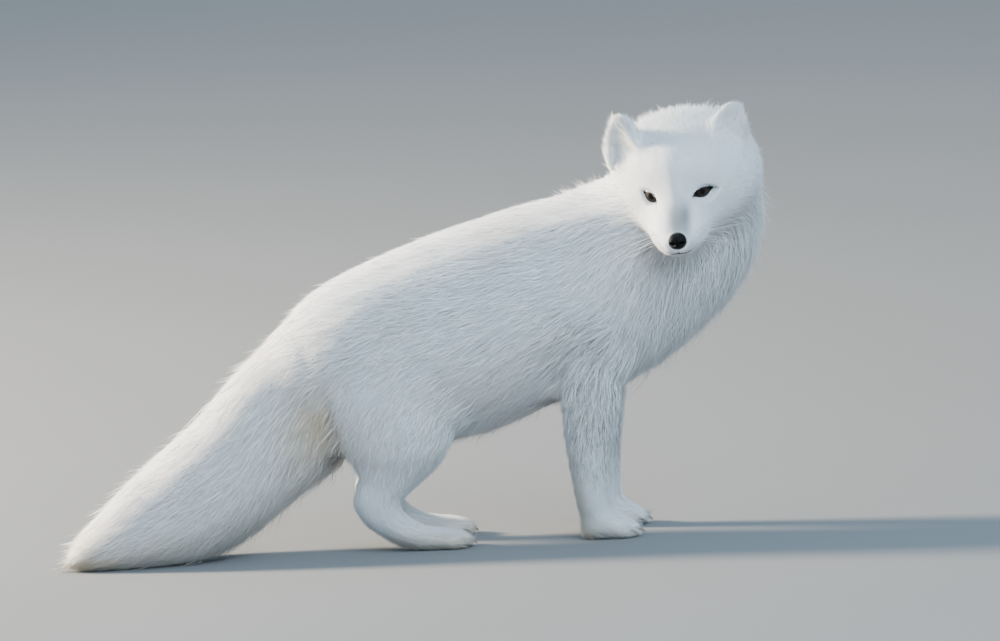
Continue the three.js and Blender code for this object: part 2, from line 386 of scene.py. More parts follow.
# From velvet on the muzzle to a mane behind the cheeks.
head_length = ramped(4.2, (4, hx, 36, 4), (9, hx, 8, -34), (16, hx, -30, -80))
head_length *= 1 - 0.3 * step(hz, 12, 34) * step(hx, -90, -50)
head_length *= 1 + 0.8 * step(hz, -20, -40) * step(hx, 20, -30)
EAR_LENGTH = 11
coat_length = (
    is_head * head_length
    + is_ear * EAR_LENGTH
    + is_front_leg * ramped(9, (9, tz, 50, 130), (12, tz, 120, 170), (3, tz, 35, 15))
    + is_hind_leg * ramped(9, (8, tz, 45, 85), (16, tz, 80, 130), (3, tz, 32, 15))
    + is_trunk * ramped(35, (5, tz, 150, 110))
    + is_neck * ramped(40, (3, tz, 300, 200))
    + is_tail * ramped(46, (8, tx, -60, -150), (-16, tx, -260, -300))
)
coat_length = smoothed(coat_length, skin_edges, 10)
coat_depth = coat_length * (0.27 - 0.07 * step(coat_length, 12, 4))
EAR_DEPTH = 2.8
coat_depth = mix(coat_depth, EAR_DEPTH, is_ear)
# In creases the skin comes up near the outline, so that the fur fills them.
CREASE_ROUNDS = 60
crease = np.sum((smoothed(outer, skin_edges, CREASE_ROUNDS) - outer) * outer_normals, axis=1) / MM
coat_depth *= 1 - 0.75 * step(crease, 0.8, 3.5) * (1 - is_ear)

# ---------------- skin under the coat
skin = outer - outer_normals * coat_depth[:, None] * MM
soft = (1 - face_fine) * (1 - 0.8 * is_ear) * (1 - 0.7 * step(tz, 60, 20))
skin = faired(skin, skin_edges, 10, soft)
skin[:, 2] = np.maximum(skin[:, 2], FLOOR_GAP)

# The eyes: each opening's half length and height, and how its outer corner is raised. The fox's right
# eye, -1, squints into the sun. The corners are pointed, and the inner one is drawn out.
EYE_RADIUS = 9.5
EYE_PLACE = np.array([-EYE_BACK, eye_gap / 2 / MM, 0.0])
OPENING = {1: (10.5, 3.6), -1: (8.8, 3.3)}
SLANT = {1: math.radians(4), -1: math.radians(21)}
INNER_CORNER = 3.0
CORNERS = 1.5
SPLAY = math.radians(27)
# How far the skin lies over the ball at the lids and behind it, and the least height of the lids.
LID = 0.8
SOCKET = -1.4
LID_REST = 4.6


def eye_frame(hand):
    """An eye's middle and axes in the head's frame: outwards, along the opening, and up it."""
    out = np.array([math.cos(SPLAY), hand * math.sin(SPLAY), 0])
    level = np.array([-math.sin(SPLAY), hand * math.cos(SPLAY), 0])
    up = np.array([0, 0, 1.0])
    along = level * math.cos(SLANT[hand]) + up * math.sin(SLANT[hand])
    above = up * math.cos(SLANT[hand]) - level * math.sin(SLANT[hand])
    return EYE_PLACE * [1, hand, 1], out, along, above


def opening_place(local, hand):
    """Each point's distance out from the edge of an eye's opening, and its place along, up and out."""
    centre, out, along, above = eye_frame(hand)
    offset = local - centre
    length, height, depth = offset @ along, offset @ above, offset @ out
    long, high = OPENING[hand]
    long = long + INNER_CORNER * (length < 0)
    share = ((np.abs(length) / long) ** CORNERS + (np.abs(height) / high) ** CORNERS) ** (1 / CORNERS)
    gap = np.hypot(length, height) * (1 - 1 / np.maximum(share, 0.05))
    return np.where((depth > 0) & (depth < 3 * EYE_RADIUS), gap, FAR), length, height, depth


def on_ball(length, height, radius, least):
    """How far out a ball's front lies over a place on the opening, or at least least."""
    return np.sqrt(np.maximum(radius**2 - length**2 - height**2, least**2))


def socketed(local):
    """Sinks the skin behind both eyes, and brings it to the lids' height round them."""
    made = local.copy()
    for hand in SIDES.values():
        centre, out, along, above = eye_frame(hand)
        gap, length, height, depth = opening_place(made, hand)
        hole = on_ball(length, height, EYE_RADIUS + SOCKET, 2.0)
        rim = on_ball(length, height, EYE_RADIUS + LID, LID_REST + 1.2)
        shaped = mix(hole, rim, step(gap, 0.2, 1.1))
        blend = step(gap, 6 - 1.5 * step(-length, 2, 9), 1.2)
        made += out * (blend * (shaped - depth))[:, None]
    return made


# The mouth: a shut line from under the nose back to its corners.
MOUTH_LINE = np.array(
    [[56, 0, -38.5], [52, 8, -39.5], [44, 17, -38], [34, 23.5, -35], [24, 27.5, -32], [15, 30, -31]]
)
LIP_HALF = 1.1
LIP_STEPS = 90
NOSE_HALF = np.array([7.6, 8.6, 7.6])


def distance_to_line(local, line):
    """Distance to a line of points, with both sides of the head taken as one, and the share along it."""
    here = np.abs(local * [0, 1, 0]) + local * [1, 0, 1]
    best = np.full(len(local), 1e9)
    share = np.zeros(len(local))
    for k, (a, b) in enumerate(zip(line[:-1], line[1:])):
        t = np.clip((here - a) @ (b - a) / ((b - a) @ (b - a)), 0, 1)
        gap = norm(here - a - t[:, None] * (b - a), axis=1)
        closer = gap < best
        best[closer] = gap[closer]
        share[closer] = (k + t[closer]) / (len(line) - 1)
    return best, share


local = in_head(skin)
local = smoothed(local, skin_edges, 8, 0.5, face_fine * (is_head > 0.2))
face_normals = vertex_normals(local, skin_triangles)
mouth_gap, mouth_share = distance_to_line(local, MOUTH_LINE)
groove = 1.3 * bell(mouth_gap, LIP_HALF) * step(mouth_share, 1.0, 0.9)
upper_lip = 0.9 * bell(mouth_gap - 3.2, 2.2) * (local[:, 2] > -37 + 0.1 * local[:, 0])
local = local + face_normals * ((upper_lip * step(local[:, 0], 10, 25)) - groove)[:, None]
philtrum = bell(local[:, 1], 0.9) * step(local[:, 0], 44, 52) * step(local[:, 2], -33, -35)
local = local - face_normals * (0.8 * philtrum)[:, None]
local = socketed(local)
under_pad = norm((local - NOSE_AT) / NOSE_HALF, axis=1)
local = local - face_normals * (4 * step(under_pad, 1.0, 0.85))[:, None]
skin = from_head(local)
skin_object = new_object("skin", skin, skin_triangles)
skin_normals = vertex_normals(skin, skin_triangles)
skin_tree = BVHTree.FromPolygons(skin.tolist(), skin_triangles.tolist())


# ---------------- pieces that aren't flesh
def ringed(rings, around):
    """A closed ball of radius 1 about the x axis, as rings from its front pole to its back one."""
    angles = math.pi * (np.arange(1, rings) / rings) ** 1.25
    turns = 2 * math.pi * np.arange(around) / around
    polar, turn = (grid.ravel() for grid in np.meshgrid(angles, turns, indexing="ij"))
    polar = np.concatenate([polar, [0, math.pi]])
    turn = np.concatenate([turn, [0, 0]])
    off = np.sin(polar)
    points = np.stack([np.cos(polar), off * np.cos(turn), off * np.sin(turn)], axis=1)
    front = (rings - 1) * around
    triangles = [[c, b, a] for a, b, c in bands(rings - 1, around)]
    for k in range(around):
        after = (k + 1) % around
        triangles += [[front, k, after], [front + 1, front - around + after, front - around + k]]
    return points, np.array(triangles), polar, turn


def attribute(obj, name, values):
    kinds = {1: ("FLOAT", "value"), 3: ("FLOAT_VECTOR", "vector"), 4: ("FLOAT_COLOR", "color")}
    kind, field = kinds[values.size // len(values)]
    layer = obj.data.attributes.new(name, kind, "POINT")
    layer.data.foreach_set(field, values.astype(np.float32).ravel())


GAZE = math.radians(20)
CORNEA = {"radius": 6.6, "rise": 0.55}


def eye_piece(side):
    """An eyeball with a raised cornea; its place attribute is the distance from the pupil's middle."""
    hand = SIDES[side]
    centre = EYE_PLACE * [1, hand, 1]
    ball = EYE_RADIUS - 0.15
    points, triangles, polar, turn = ringed(44, 56)
    radius = ball + CORNEA["rise"] * step(ball * np.sin(polar), CORNEA["radius"], 3.5) * (polar < 1.5)
    gaze = np.array([math.cos(GAZE), hand * math.sin(GAZE), 0.13])
    level = unit(np.cross([0, 0, 1.0], gaze))
    points *= radius[:, None]
    local = centre + points @ np.array([unit(gaze), level, np.cross(unit(gaze), level)])
    eye = new_object("eyeball_" + side, from_head(local), triangles)
    place = np.where(polar < math.pi / 2, ball * np.sin(polar), ball)
    attribute(eye, "place", place)
    attribute(eye, "spoke", np.stack([np.cos(turn), np.sin(turn), place / 12], axis=1))
    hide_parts("eye_" + side)
    return eye


# The lid's rings: how far out each is from the opening's edge, and how high over the ball, in mm.
LID_RINGS = [
    (-0.9, -1.2), (-0.5, -0.25), (-0.1, 0.35), (0.3, 0.78), (0.7, 1.0),
    (1.1, 1.0), (1.6, 0.8), (2.6, -0.6), (2.6, -2.4), (-0.9, -2.4),
]
LID_AROUND = 120


def eyelid_piece(side):
    """A ring of bare skin round one eye: thin inside on the ball, a raised edge, then under the fur."""
    hand = SIDES[side]
    centre, out, along, above = eye_frame(hand)
    turn = 2 * math.pi * np.arange(LID_AROUND) / LID_AROUND
    long, high = OPENING[hand]
    cos, sin = np.cos(turn), np.sin(turn)
    long = long + INNER_CORNER * (cos < 0)
    edge_long = long * np.sign(cos) * np.abs(cos) ** (2 / CORNERS)
    edge_high = high * np.sign(sin) * np.abs(sin) ** (2 / CORNERS)
    edge_high += 0.5 * sin * (sin > 0)
    inner = step(-cos, 0.86, 1)
    way = unit(np.stack([cos / long, sin / high], 1))
    points = []
    for outwards, rise in LID_RINGS:
        reach = outwards * (1 + 1.1 * inner * (outwards > 0))
        length = edge_long + way[:, 0] * reach
        height = edge_high + way[:, 1] * reach
        depth = on_ball(length, height, EYE_RADIUS, LID_REST) + rise
        points.append(centre + length[:, None] * along + height[:, None] * above + depth[:, None] * out)
    triangles = bands(len(LID_RINGS), LID_AROUND, closed=True)
    return new_object("eyelid_" + side, from_head(np.concatenate(points)), np.array(triangles))


def tube(points, radii, around=10):
    """A closed round tube along points, with a radius at each."""
    along = unit(np.gradient(points, axis=0))
    side = unit(np.cross(along, [0, 0, 1.0]))
    over = np.cross(side, along)
    turn = 2 * math.pi * np.arange(around) / around
    circle = np.cos(turn)[:, None, None] * side + np.sin(turn)[:, None, None] * over
    rings = points + circle * radii[None, :, None]
    made = rings.transpose(1, 0, 2).reshape(-1, 3)
    triangles = bands(len(points), around)
    last = (len(points) - 1) * around
    for k in range(1, around - 1):
        triangles += [[0, k + 1, k], [last, last + k, last + k + 1]]
    return made, np.array(triangles)


def rounded(points, count):
    """More points on a smooth curve through the given ones."""
    padded = np.concatenate([[2 * points[0] - points[1]], points, [2 * points[-1] - points[-2]]])
    places = np.linspace(0, len(points) - 1.0001, count)
    made = []
    for place in places:
        k = int(place)
        t = place - k
        a, b, c, d = padded[k : k + 4]
        made.append(b + 0.5 * t * (c - a + t * (2 * a - 5 * b + 4 * c - d + t * (3 * (b - c) + d - a))))
    return np.array(made)


def on_skin(local, lift):
    """Points of the head moved to lie over the skin by lift, in millimetres."""
    found = (skin_tree.find_nearest(Vector(point)) for point in from_head(local))
    return np.array([place + normal * lift * MM for place, normal, _, _ in found])


def lips_piece():
    """The dark edge of the shut mouth, from one corner round the front to the other."""
    half = MOUTH_LINE[::-1]
    both = np.concatenate([half, half[-2::-1] * [1, -1, 1]])
    route = on_skin(rounded(both, LIP_STEPS), 0.05)
    steps = np.arange(LIP_STEPS)
    ends = np.minimum(steps, steps[::-1]) * 2 / LIP_STEPS
    radii = (0.15 + 0.75 * step(ends, 0.5, 0.85)) * MM
    return new_object("lips", *tube(route, radii))


NOSTRIL = {"side": 4.4, "up": -0.6, "long": 2.6, "high": 2.0, "deep": 3.6}
NOSE_BOXY = 2.6


def nose_piece():
    """The nose pad: broad above, narrow below, with two comma-shaped nostrils and a groove between."""
    points, triangles, _, _ = ringed(72, 96)
    boxy = (np.abs(points) ** NOSE_BOXY).sum(axis=1) ** (-1 / NOSE_BOXY)
    x, y, z = (points * boxy[:, None]).T
    narrow = 1 - 0.3 * step(z, 0.1, -1)
    local = np.stack([x, y * narrow, z], axis=1) * NOSE_HALF
    local[:, 0] -= 1.6 * step(-z, 0.2, 1)
    front = step(x, 0.05, 0.45)
    across_nose = np.abs(local[:, 1]) - NOSTRIL["side"]
    above = local[:, 2] - NOSTRIL["up"]
    hole = np.exp(-((across_nose / NOSTRIL["long"]) ** 2 + (above / NOSTRIL["high"]) ** 2) * 1.6)
    slit_middle = -0.9 - 0.35 * across_nose
    slit = bell(above - slit_middle, 0.7) * window(across_nose, 0.5, 2, 4, 6)
    groove = bell(local[:, 1], 0.65) * step(local[:, 2], 3.5, 0.5)
    rim = bell(np.hypot(across_nose / 1.25, above) - 2.9, 1.0)
    local[:, 0] += front * (0.5 * rim - NOSTRIL["deep"] * hole - 1.5 * slit - 0.9 * groove)
    nose = new_object("nose_pad", from_head(local + NOSE_AT), triangles)
    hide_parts("nose")
    return nose


def claws_of(foot):
    """One foot's four claws, as rounded horns inside the shapes of their nodes."""
    names = [f"claw_{foot}_{k + 1}" for k in range(4)]
    horns = modified(merged("claws", names), "SUBSURF", levels=2)
    claws = new_object("claws_" + foot, *arrays_of(horns))
    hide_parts(*names)
    return claws


WHISKER_ROWS = [(44, -21, 4), (43, -26, 4), (42, -31, 3)]
WHISKER_SPACING = 4.6
WHISKER_SPOT = 1.1


def whisker_roots():
    """Where the whiskers grow, in the head's frame: on the skin, straight in from beside the head."""
    roots = []
    for x, z, count in WHISKER_ROWS:
        for k in range(count):
            for hand in SIDES.values():
                start = from_head([x - k * WHISKER_SPACING, hand * 60, z - 0.3 * k])
                place = skin_tree.ray_cast(Vector(start), Vector(-hand * head_y))[0]
                roots.append(in_head(np.array(place)))
    return np.array(roots)


def whisker_piece():
    """Fine tapering whiskers that curve back from both sides of the muzzle."""
    meshes = []
    share = np.linspace(0, 1, 12)
    for root in whisker_roots():
        hand = np.sign(root[1])
        long = rng.uniform(26, 46)
        way = unit(np.array([rng.uniform(0.1, 0.4), hand, rng.uniform(-0.35, 0.25)]))
        back = np.array([-0.6, 0.1 * hand, -0.25]) * 0.5
        route = root + long * (np.outer(share - 0.02, way) + np.outer(share**2, back))
        meshes.append(tube(from_head(route), (0.17 - 0.13 * share) * MM, around=5))
    points, triangles = stacked(meshes)
    piece = new_object("whiskers", points, triangles)
    attribute(piece, "marks", np.tile([0.15, 0.12, 0, 1.0], (len(points), 1)))
    attribute(piece, "strand", np.ones(len(points)))
    return piece


eyes = [eye_piece(side) for side in SIDES]
eyelids = [eyelid_piece(side) for side in SIDES]
lips = lips_piece()
nose = nose_piece()
claws = [claws_of(f"{end}_{side}") for end in ("front", "hind") for side in SIDES]
whiskers = whisker_piece()
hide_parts(*FLESH)

# ---------------- lie of the coat
shade_normals = unit(smoothed(outer_normals, skin_edges, 16, 0.5, 1 - 0.9 * is_ear))


def toward(x, y, z):
    """A direction for each point of the skin, in the row's frame."""
    return np.stack(np.broadcast_arrays(x, y, z, np.zeros(len(outer)))[:3], axis=1)


def head_toward(x, y, z):
    return toward(x, y, z) @ head_axes


# The middle line of the brush, by the trunk's x: how fast it falls and swings to its right.
TAIL_X = [-300, -258, -215, -170, -128, -95, -55]
TAIL_FALL = [0.35, 0.4, 0.48, 0.66, 1.0, 1.15, 1.0]
TAIL_SWING = [0.16, 0.18, 0.2, 0.18, 0.13, 0.06, 0.03]


def lie_of_coat():
    """The way the fur lies at each point of the skin, along its surface."""
    nx, _, nz = outer_normals.T
    side = np.sign(hy)
    trunk = toward(-1, 0, -0.45 * (1 - nz))
    neck = mix(toward(-0.75, 0.15, -0.65), toward(-0.15, 0.05, -1), step(nx, -0.3, 0.6))
    neck = mix(neck, head_toward(-0.7, 0, -0.7), step(tz, 300, 350))
    crown = head_toward(-1, 0.15 * side, 0.3 * step(hx, -80, -20) - 0.2)
    cheek = head_toward(-0.85, 0.5 * side, -0.45)
    muzzle = head_toward(-1, 0.25 * side, 0.15)
    behind = head_toward(-0.3, 0.1 * side, -1)
    head = mix(mix(cheek, crown, step(hz, -15, 10)), muzzle, step(hx, 5, 30))
    head = mix(head, behind, step(outer_normals @ head_x, -0.15, -0.6))
    ear = head_toward(-0.1, 0.25 * side, 1)
    tail = -toward(1, np.interp(tx, TAIL_X, TAIL_SWING), np.interp(tx, TAIL_X, TAIL_FALL))
    foot = step(tz, 42, 24)
    paw = toward(1, 0, -0.25)
    hind = mix(toward(-0.15, 0, -1), toward(-0.6, 0, -1), step(tz, 60, 130))
    front = toward(-0.25, 0, -1)
    lie = 0
    for share, way in (
        (is_trunk, trunk), (is_neck, neck), (is_head, head), (2 * is_ear, ear), (is_tail, tail),
        (is_hind_leg, mix(hind, paw, foot)), (is_front_leg, mix(front, paw, foot)),
    ):
        lie = lie + share[:, None] * unit(way)
    lie = across(lie, shade_normals)
    lie = smoothed(lie, skin_edges, 25)
    for hand in SIDES.values():
        centre, out, along, above = eye_frame(hand)
        gap, length, height, _ = opening_place(in_head(skin), hand)
        long, high = OPENING[hand]
        spread = np.outer(length / long**2, along) + np.outer(height / high**2, above)
        lie += (unit(spread) @ head_axes) * (1.5 * step(gap, 6, 2))[:, None]
    return across(smoothed(lie, skin_edges, 3), shade_normals)


WAVE_COUNT = 9


def waves(points, size, seed):
    """Smooth noise between about -1 and 1, its bumps about size millimetres across."""
    draw = np.random.default_rng(seed)
    ways = unit(draw.normal(size=(WAVE_COUNT, 3)))
    pace = draw.uniform(0.7, 1.5, WAVE_COUNT) * math.pi / (size * MM)
    phase = draw.uniform(0, 2 * math.pi, WAVE_COUNT)
    bend = draw.normal(size=(WAVE_COUNT, 3))
    total = np.zeros(len(points))
    for way, rate, start, turn in zip(ways, pace, phase, bend):
        warp = np.sin(points @ turn * rate * 0.5)
        total += np.sin(points @ way * rate + start + warp)
    return total / math.sqrt(WAVE_COUNT / 2) / 1.6


lie = lie_of_coat()

# ---------------- markings
lid_gap = np.minimum(*(opening_place(in_head(skin), hand)[0] for hand in SIDES.values()))
outer = mix(outer, skin + skin_normals * 0.9 * MM, step(lid_gap, 7, 2.5))
lip_gap, lip_share = distance_to_line(in_head(skin), MOUTH_LINE)
nose_gap = norm((in_head(skin) - NOSE_AT) / (NOSE_HALF + [0.6, 0.3, 0.3]), axis=1)


def markings():
    """Cream, grey and dark shares, and tone, at each point of the skin; some of the cream and grey is
    painted sunlight and shade.
    """
    nz = outer_normals[:, 2]
    mottle = 0.5 + 0.5 * waves(skin, 22, 3)
    # A soft patch on the thigh.
    cream = 0.75 * bell(tx + 63, 22) * bell(tz - 136, 42) * (0.6 + 0.6 * mottle)
    cream += 0.35 * is_tail * step(nz, 0.1, -0.7) * step(tz, 110, 40)
    cream += is_tail * (0.1 + 0.5 * step(tx, -190, -290) * mottle)
    # Painted warm sunlight: cream on the lower foreleg's side that faces the sun.
    cream += 0.45 * is_front_leg * step(outer_normals[:, 0], 0.1, -0.8) * step(tz, 110, 40)
    cream += 0.55 * is_hind_leg * step(tz, 26, 8) + 0.3 * is_front_leg * step(tz, 22, 8)
    cream += 0.12 * step(waves(skin, 60, 4), 0.1, 1.2)
    cream += 0.06 * is_ear * step(outer_normals @ head_x, 0, 0.8)
    grey = np.zeros(len(skin))
    # The muzzle's top: grey, partly its own grey-brown fur and partly painted shade.
    bridge_grey_and_shade = step(hx, 12, 32) * step(np.abs(hy - 3), 15, 5) * step(hz, -34, -18) * is_head
    # Small spots where the whiskers grow.
    spots = sum(bell(norm(in_head(skin) - root, axis=1), WHISKER_SPOT) for root in whisker_roots())
    grey += 0.72 * bridge_grey_and_shade * (0.6 + 0.6 * mottle) + 0.4 * np.minimum(spots, 1)
    corner_line = step(lid_gap, 7, 1) * step(np.abs(hy), 29, 33) * bell(hz - 6, 1.4)
    # Painted shade in the hollow of the fox's left ear, which is turned from the sun, over some grey hair.
    grey += 0.3 * inner_ear * (hy > 0) * step(hz, 46, 32)
    # A soft ring of painted shade round each eye's lids; the line from the outer corner is a real dark
    # mark.
    grey += 0.35 * corner_line * is_head + 0.22 * step(lid_gap, 4.5, 1.5)
    dark = step(lid_gap, 1.7, 1.2) + step(nose_gap, 1.12, 1.02)
    dark += 0.9 * step(lip_gap, 1.5, 1.0) * step(lip_share, 0.42, 0.25)
    return np.clip(np.stack([cream, grey, dark, mottle], axis=1), 0, 1)


marks = markings()

# ---------------- coat
# Round the eyes and along the lips the fur shortens to velvet.
coat_length = np.minimum(coat_length, 2.8 + 0.6 * np.maximum(lid_gap - 1.2, 0))
coat_length = np.minimum(coat_length, 1.2 + 0.7 * lip_gap + 9 * step(lip_share, 0.42, 0.7))
ear_tip = is_ear * step(hz, 52, 66)
INNER_EAR_LENGTH = 18
EAR_TIP_LENGTH = 8
TOE_LENGTH = 15
coat_length = mix(coat_length, INNER_EAR_LENGTH, inner_ear)
coat_length = mix(coat_length, EAR_TIP_LENGTH, ear_tip)
facing_back = step(outer_normals @ head_x, 0.1, -0.45)
crown = is_head * step(hz, 18, 40) * window(hx, -90, -55, -40, -20) * (1 - 0.3 * facing_back)
ruff = is_head * step(hx, -30, -60) * step(hz, 20, -10) * (1 - 0.7 * facing_back)
# Where the fur stands up its shading turns the way it stands, so that it isn't dark from behind.
upright = 1.2 * np.outer(crown, head_z) + 0.8 * np.outer(ruff * np.sign(hy), head_y)
throat = (is_head + is_neck) * window(hx, -60, -30, 5, 30) * window(hz, -95, -70, -45, -30)
breast = is_neck * step(outer_normals[:, 0], 0.1, 0.6)
toes = is_leg * step(tz, 26, 12)
coat_length = mix(coat_length, TOE_LENGTH, toes * step(outer_normals[:, 0], -0.1, 0.5))
tail_end = is_tail * step(tx, -255, -295)
thigh_back = (is_hind_leg + is_trunk) * step(outer_normals[:, 0], -0.3, -0.8) * step(tz, 70, 110)
belly = (is_trunk + is_tail) * step(outer_normals[:, 2], -0.2, -0.8)
shaggy = ruff + breast + crown + thigh_back
# How far tips keep to their own line where the surface bends away from it, from 0 to 1.
coat_free = 0.1 * (1 - ear_tip) + 0.65 * toes + 0.15 * (ruff + breast + crown + belly) + 0.35 * inner_ear
# In millimetres: how far tufts stand up, how far locks stand out, and the few longest hairs.
coat_rise = 3 * inner_ear * (1 - ear_tip) + crown * (2 + 6 * step(np.abs(hy), 14, 32))
coat_rise += 1.5 * (throat + toes)
coat_locks = 0.5 + 1.2 * is_trunk + 0.8 * is_neck + 2.2 * is_tail + 0.6 * is_head + is_ear
coat_locks += is_leg * (1.1 + 0.5 * step(tz, 40, 120)) + 1.2 * (shaggy + belly) + tail_end
coat_fuzz = 2 + 4 * is_tail + 1.5 * is_neck - is_head * (1 - crown) - 0.8 * is_ear
coat_fuzz += 3 * (shaggy + 1.7 * belly)
coat_fuzz *= 1 - 0.3 * is_leg
# The shoulder and the foreleg's front carry fine grey streaks: how many of their small locks are grey.
streaked = 0.4 * window(tx, 150, 185, 215, 245) * window(tz, 40, 90, 190, 250) * (1 - is_head)
streaked += 0.03 * (is_trunk + is_neck)


EAR_AREA = 0.6


def growth():
    """Tufts to the square millimetre at each point of the skin, by the area that each has."""
    area = 1.36 - 0.44 * step(coat_length, 24, 12) - 0.42 * step(coat_length, 12, 7)
    area = mix(area, EAR_AREA, is_ear)
    bare = step(lid_gap, 1.4, 2.0) * step(nose_gap, 1.1, 1.22) * step(lip_gap, 0.4, 0.8)
    bare *= 1 - step(lip_gap, 2.6, 2.0) * step(lip_share, 0.42, 0.25)
    sole = step(in_trunk(skin)[:, 2], 1.0, 3.0)
    return bare * sole / area


def scatter(density):
    """Roots spread evenly by density: for each, its triangle and its place in it."""
    a, b, c = (skin[skin_triangles[:, k]] for k in range(3))
    area = norm(np.cross(b - a, c - a), axis=1) / 2 / MM**2
    total = np.cumsum(area * density[skin_triangles].mean(axis=1))
    count = int(total[-1])
    face = np.searchsorted(total, np.arange(count) + rng.random(count))
    face = np.minimum(face, len(skin_triangles) - 1)
    u, v = rng.random((2, count))
    over = u + v > 1
    u[over], v[over] = 1 - u[over], 1 - v[over]
    return face, np.stack([1 - u - v, u, v], axis=1)


root_face, root_place = scatter(growth())


def at_roots(values):
    """Values at the skin's points, taken between them at the roots."""
    corners = values[skin_triangles[root_face]]
    share = root_place if corners.ndim == 2 else root_place[:, :, None]
    return (corners * share).sum(axis=1)


def nearest_on(tree, points):
    """The nearest points of a surface, and its normals there."""
    found = [tree.find_nearest(Vector(point))[:2] for point in points]
    return np.array([place[:] for place, _ in found]), np.array([normal[:] for _, normal in found])


def turned(vectors, axes, angles):
    """Vectors turned about axes square to them."""
    return vectors * np.cos(angles)[:, None] + np.cross(axes, vectors) * np.sin(angles)[:, None]


def nearest_seed(roots, spacing):
    """Gathers roots into clumps: the number of each root's clump leader."""
    cell = np.floor(roots / (spacing[:, None] * MM) + rng.random(3)).astype(int)
    key = cell @ np.array([73856093, 19349663, 83492791])
    order = rng.permutation(len(roots))
    chosen = order[np.unique(key[order], return_index=True)[1]]
    tree = kdtree.KDTree(len(chosen))
    for number in chosen:
        tree.insert(Vector(roots[number]), int(number))
    tree.balance()
    return np.array([tree.find(Vector(point))[1] for point in roots])


# Where the legs stand and how high the brush's middle lies, in the trunk's frame.
FORE_X = 185
HIND_X = -10
LEG_Y = 43
TAIL_Z = [18, 30, 44, 66, 104, 145, 186]


def bake_places(piece_name, roots):
    """Where roots lie on an unwrap of the skin: round the part's own middle line, and along it."""
    x, y, z = in_trunk(roots).T
    if piece_name.startswith(("coat_face", "coat_head")):
        x, y, z = in_head(roots).T
        turn, along = np.arctan2(y, z + 12), x
    elif "legs" in piece_name:
        middle_x = FORE_X if "front" in piece_name else HIND_X
        turn, along = np.arctan2(np.abs(y) - LEG_Y, x - middle_x) / 2, z
        turn = turn * 0.98 + np.where(y > 0, math.pi / 2, -math.pi / 2)
    elif piece_name.startswith("coat_neck"):
        turn, along = np.arctan2(y + 30, x - 0.85 * (z - 220) - 215), z + 0.5 * x
    elif piece_name.startswith("coat_tail"):
        middle = np.interp(x, TAIL_X, TAIL_Z)
        turn, along = np.arctan2(y + 12, z - middle), x
    else:
        turn, along = np.arctan2(y, z - 200), x
    along = (along - along.min()) / max(np.ptp(along), 1)
    return np.stack([0.5 + 0.49 * turn / math.pi, 0.01 + 0.98 * along], axis=1)


def tuft_shapes(group, middle):
    """The corners and triangles of closed three-sided tufts, bent ones where a middle is given."""
    root, normal = tuft_root[group], tuft_normal[group]
    side = np.cross(normal, tuft_way[group])
    half = tuft_width[group][:, None] * MM / 2
    levels = [(root, 1.0)] if middle is None else [(root, 0.85), (middle, 1.0)]
    corners, leans = [], []
    for place, share in levels:
        for sideways, upwards in [(-1, -0.3), (1, -0.3), (0, 0.75)]:
            lean = side * sideways + normal * upwards
            corners.append(place + lean * half * share)
            leans.append(lean)
    corners.append(tuft_tip[group])
    leans.append(normal)
    last = 3 * len(levels) - 3
    end = last + 3
    pattern = [[0, 2, 1], *bands(len(levels), 3)]
    pattern += [[last + k, last + (k + 1) % 3, end] for k in range(3)]
    points = np.stack(corners, axis=1)
    triangles = np.array(pattern) + (np.arange(len(root)) * (end + 1))[:, None, None]
    return points, np.stack(leans, axis=1), triangles.reshape(-1, 3)


# How far a tuft's shading follows its own faces rather than the coat's.
OWN_SHADE = 0.11
# By a tuft's number of corners: how far along the strand each is, and its place on its patch of the map.
STRANDS = {4: [0.1, 0.1, 0.1, 1], 7: [0, 0, 0, 0.5, 0.5, 0.5, 1]}
BAKE_PATCH = {
    4: [[-1, -1], [1, -1], [0, -0.6], [0, 1]],
    7: [[-1, -1], [1, -1], [0, -0.8], [-0.8, 0], [0.8, 0], [0, 0.2], [0, 1]],
}
BAKE_HALF = 0.0015


def coat_piece(name, chosen):
    """One closed mesh of all the chosen tufts, with its colours, bake map and softened normals."""
    bent = tuft_bent[chosen]
    rows, base = [], 0
    for group, middle in ((chosen[bent], tuft_middle[chosen[bent]]), (chosen[~bent], None)):
        points, lean, triangles = tuft_shapes(group, middle)
        each = points.shape[1]
        strand = np.tile(STRANDS[each], len(group))
        patch = np.tile(BAKE_PATCH[each], (len(group), 1))
        owner = np.repeat(group, each)
        rows.append((owner, points.reshape(-1, 3), lean.reshape(-1, 3), triangles + base, strand, patch))
        base += len(owner)
    owner, points, lean, triangles, strand, patch = (np.concatenate(column) for column in zip(*rows))
    piece = new_object(name, points, triangles)
    normals = unit(mix(tuft_shade[owner], unit(lean), np.full(len(owner), OWN_SHADE)))
    piece.data.normals_split_custom_set_from_vertices(normals.tolist())
    attribute(piece, "strand", strand)
    attribute(piece, "marks", tuft_marks[owner])
    places = bake_places(name, tuft_root[owner]) + patch * BAKE_HALF
    layer = piece.data.uv_layers.new(name="OFBake")
    layer.data.foreach_set("uv", places[triangles.ravel()].astype(np.float32).ravel())
    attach(piece, "root")
    piece.data.materials.append(fur_material)


# ---------------- materials
def shader_of(name, roughness, **constants):
    """A material whose plain numbers are set on the shader itself, with its tree and that shader."""
    made = bpy.data.materials.new(name)
    made.use_nodes = True
    shader = made.node_tree.nodes["Principled BSDF"]
    shader.inputs["Roughness"].default_value = roughness
    for socket, value in constants.items():
        shader.inputs[socket.replace("_", " ")].default_value = value
    return made, made.node_tree, shader


def add_node(tree, kind, **settings):
    made = tree.nodes.new("ShaderNode" + kind)
    for key, value in settings.items():
        if hasattr(made, key):
            setattr(made, key, value)
        else:
            made.inputs[key].default_value = value
    return made


def connect(value, socket):
    value.id_data.links.new(value, socket)


def stored(tree, name, output="Fac"):
    """One of the mesh's own attributes."""
    return add_node(tree, "Attribute", attribute_name=name).outputs[output]


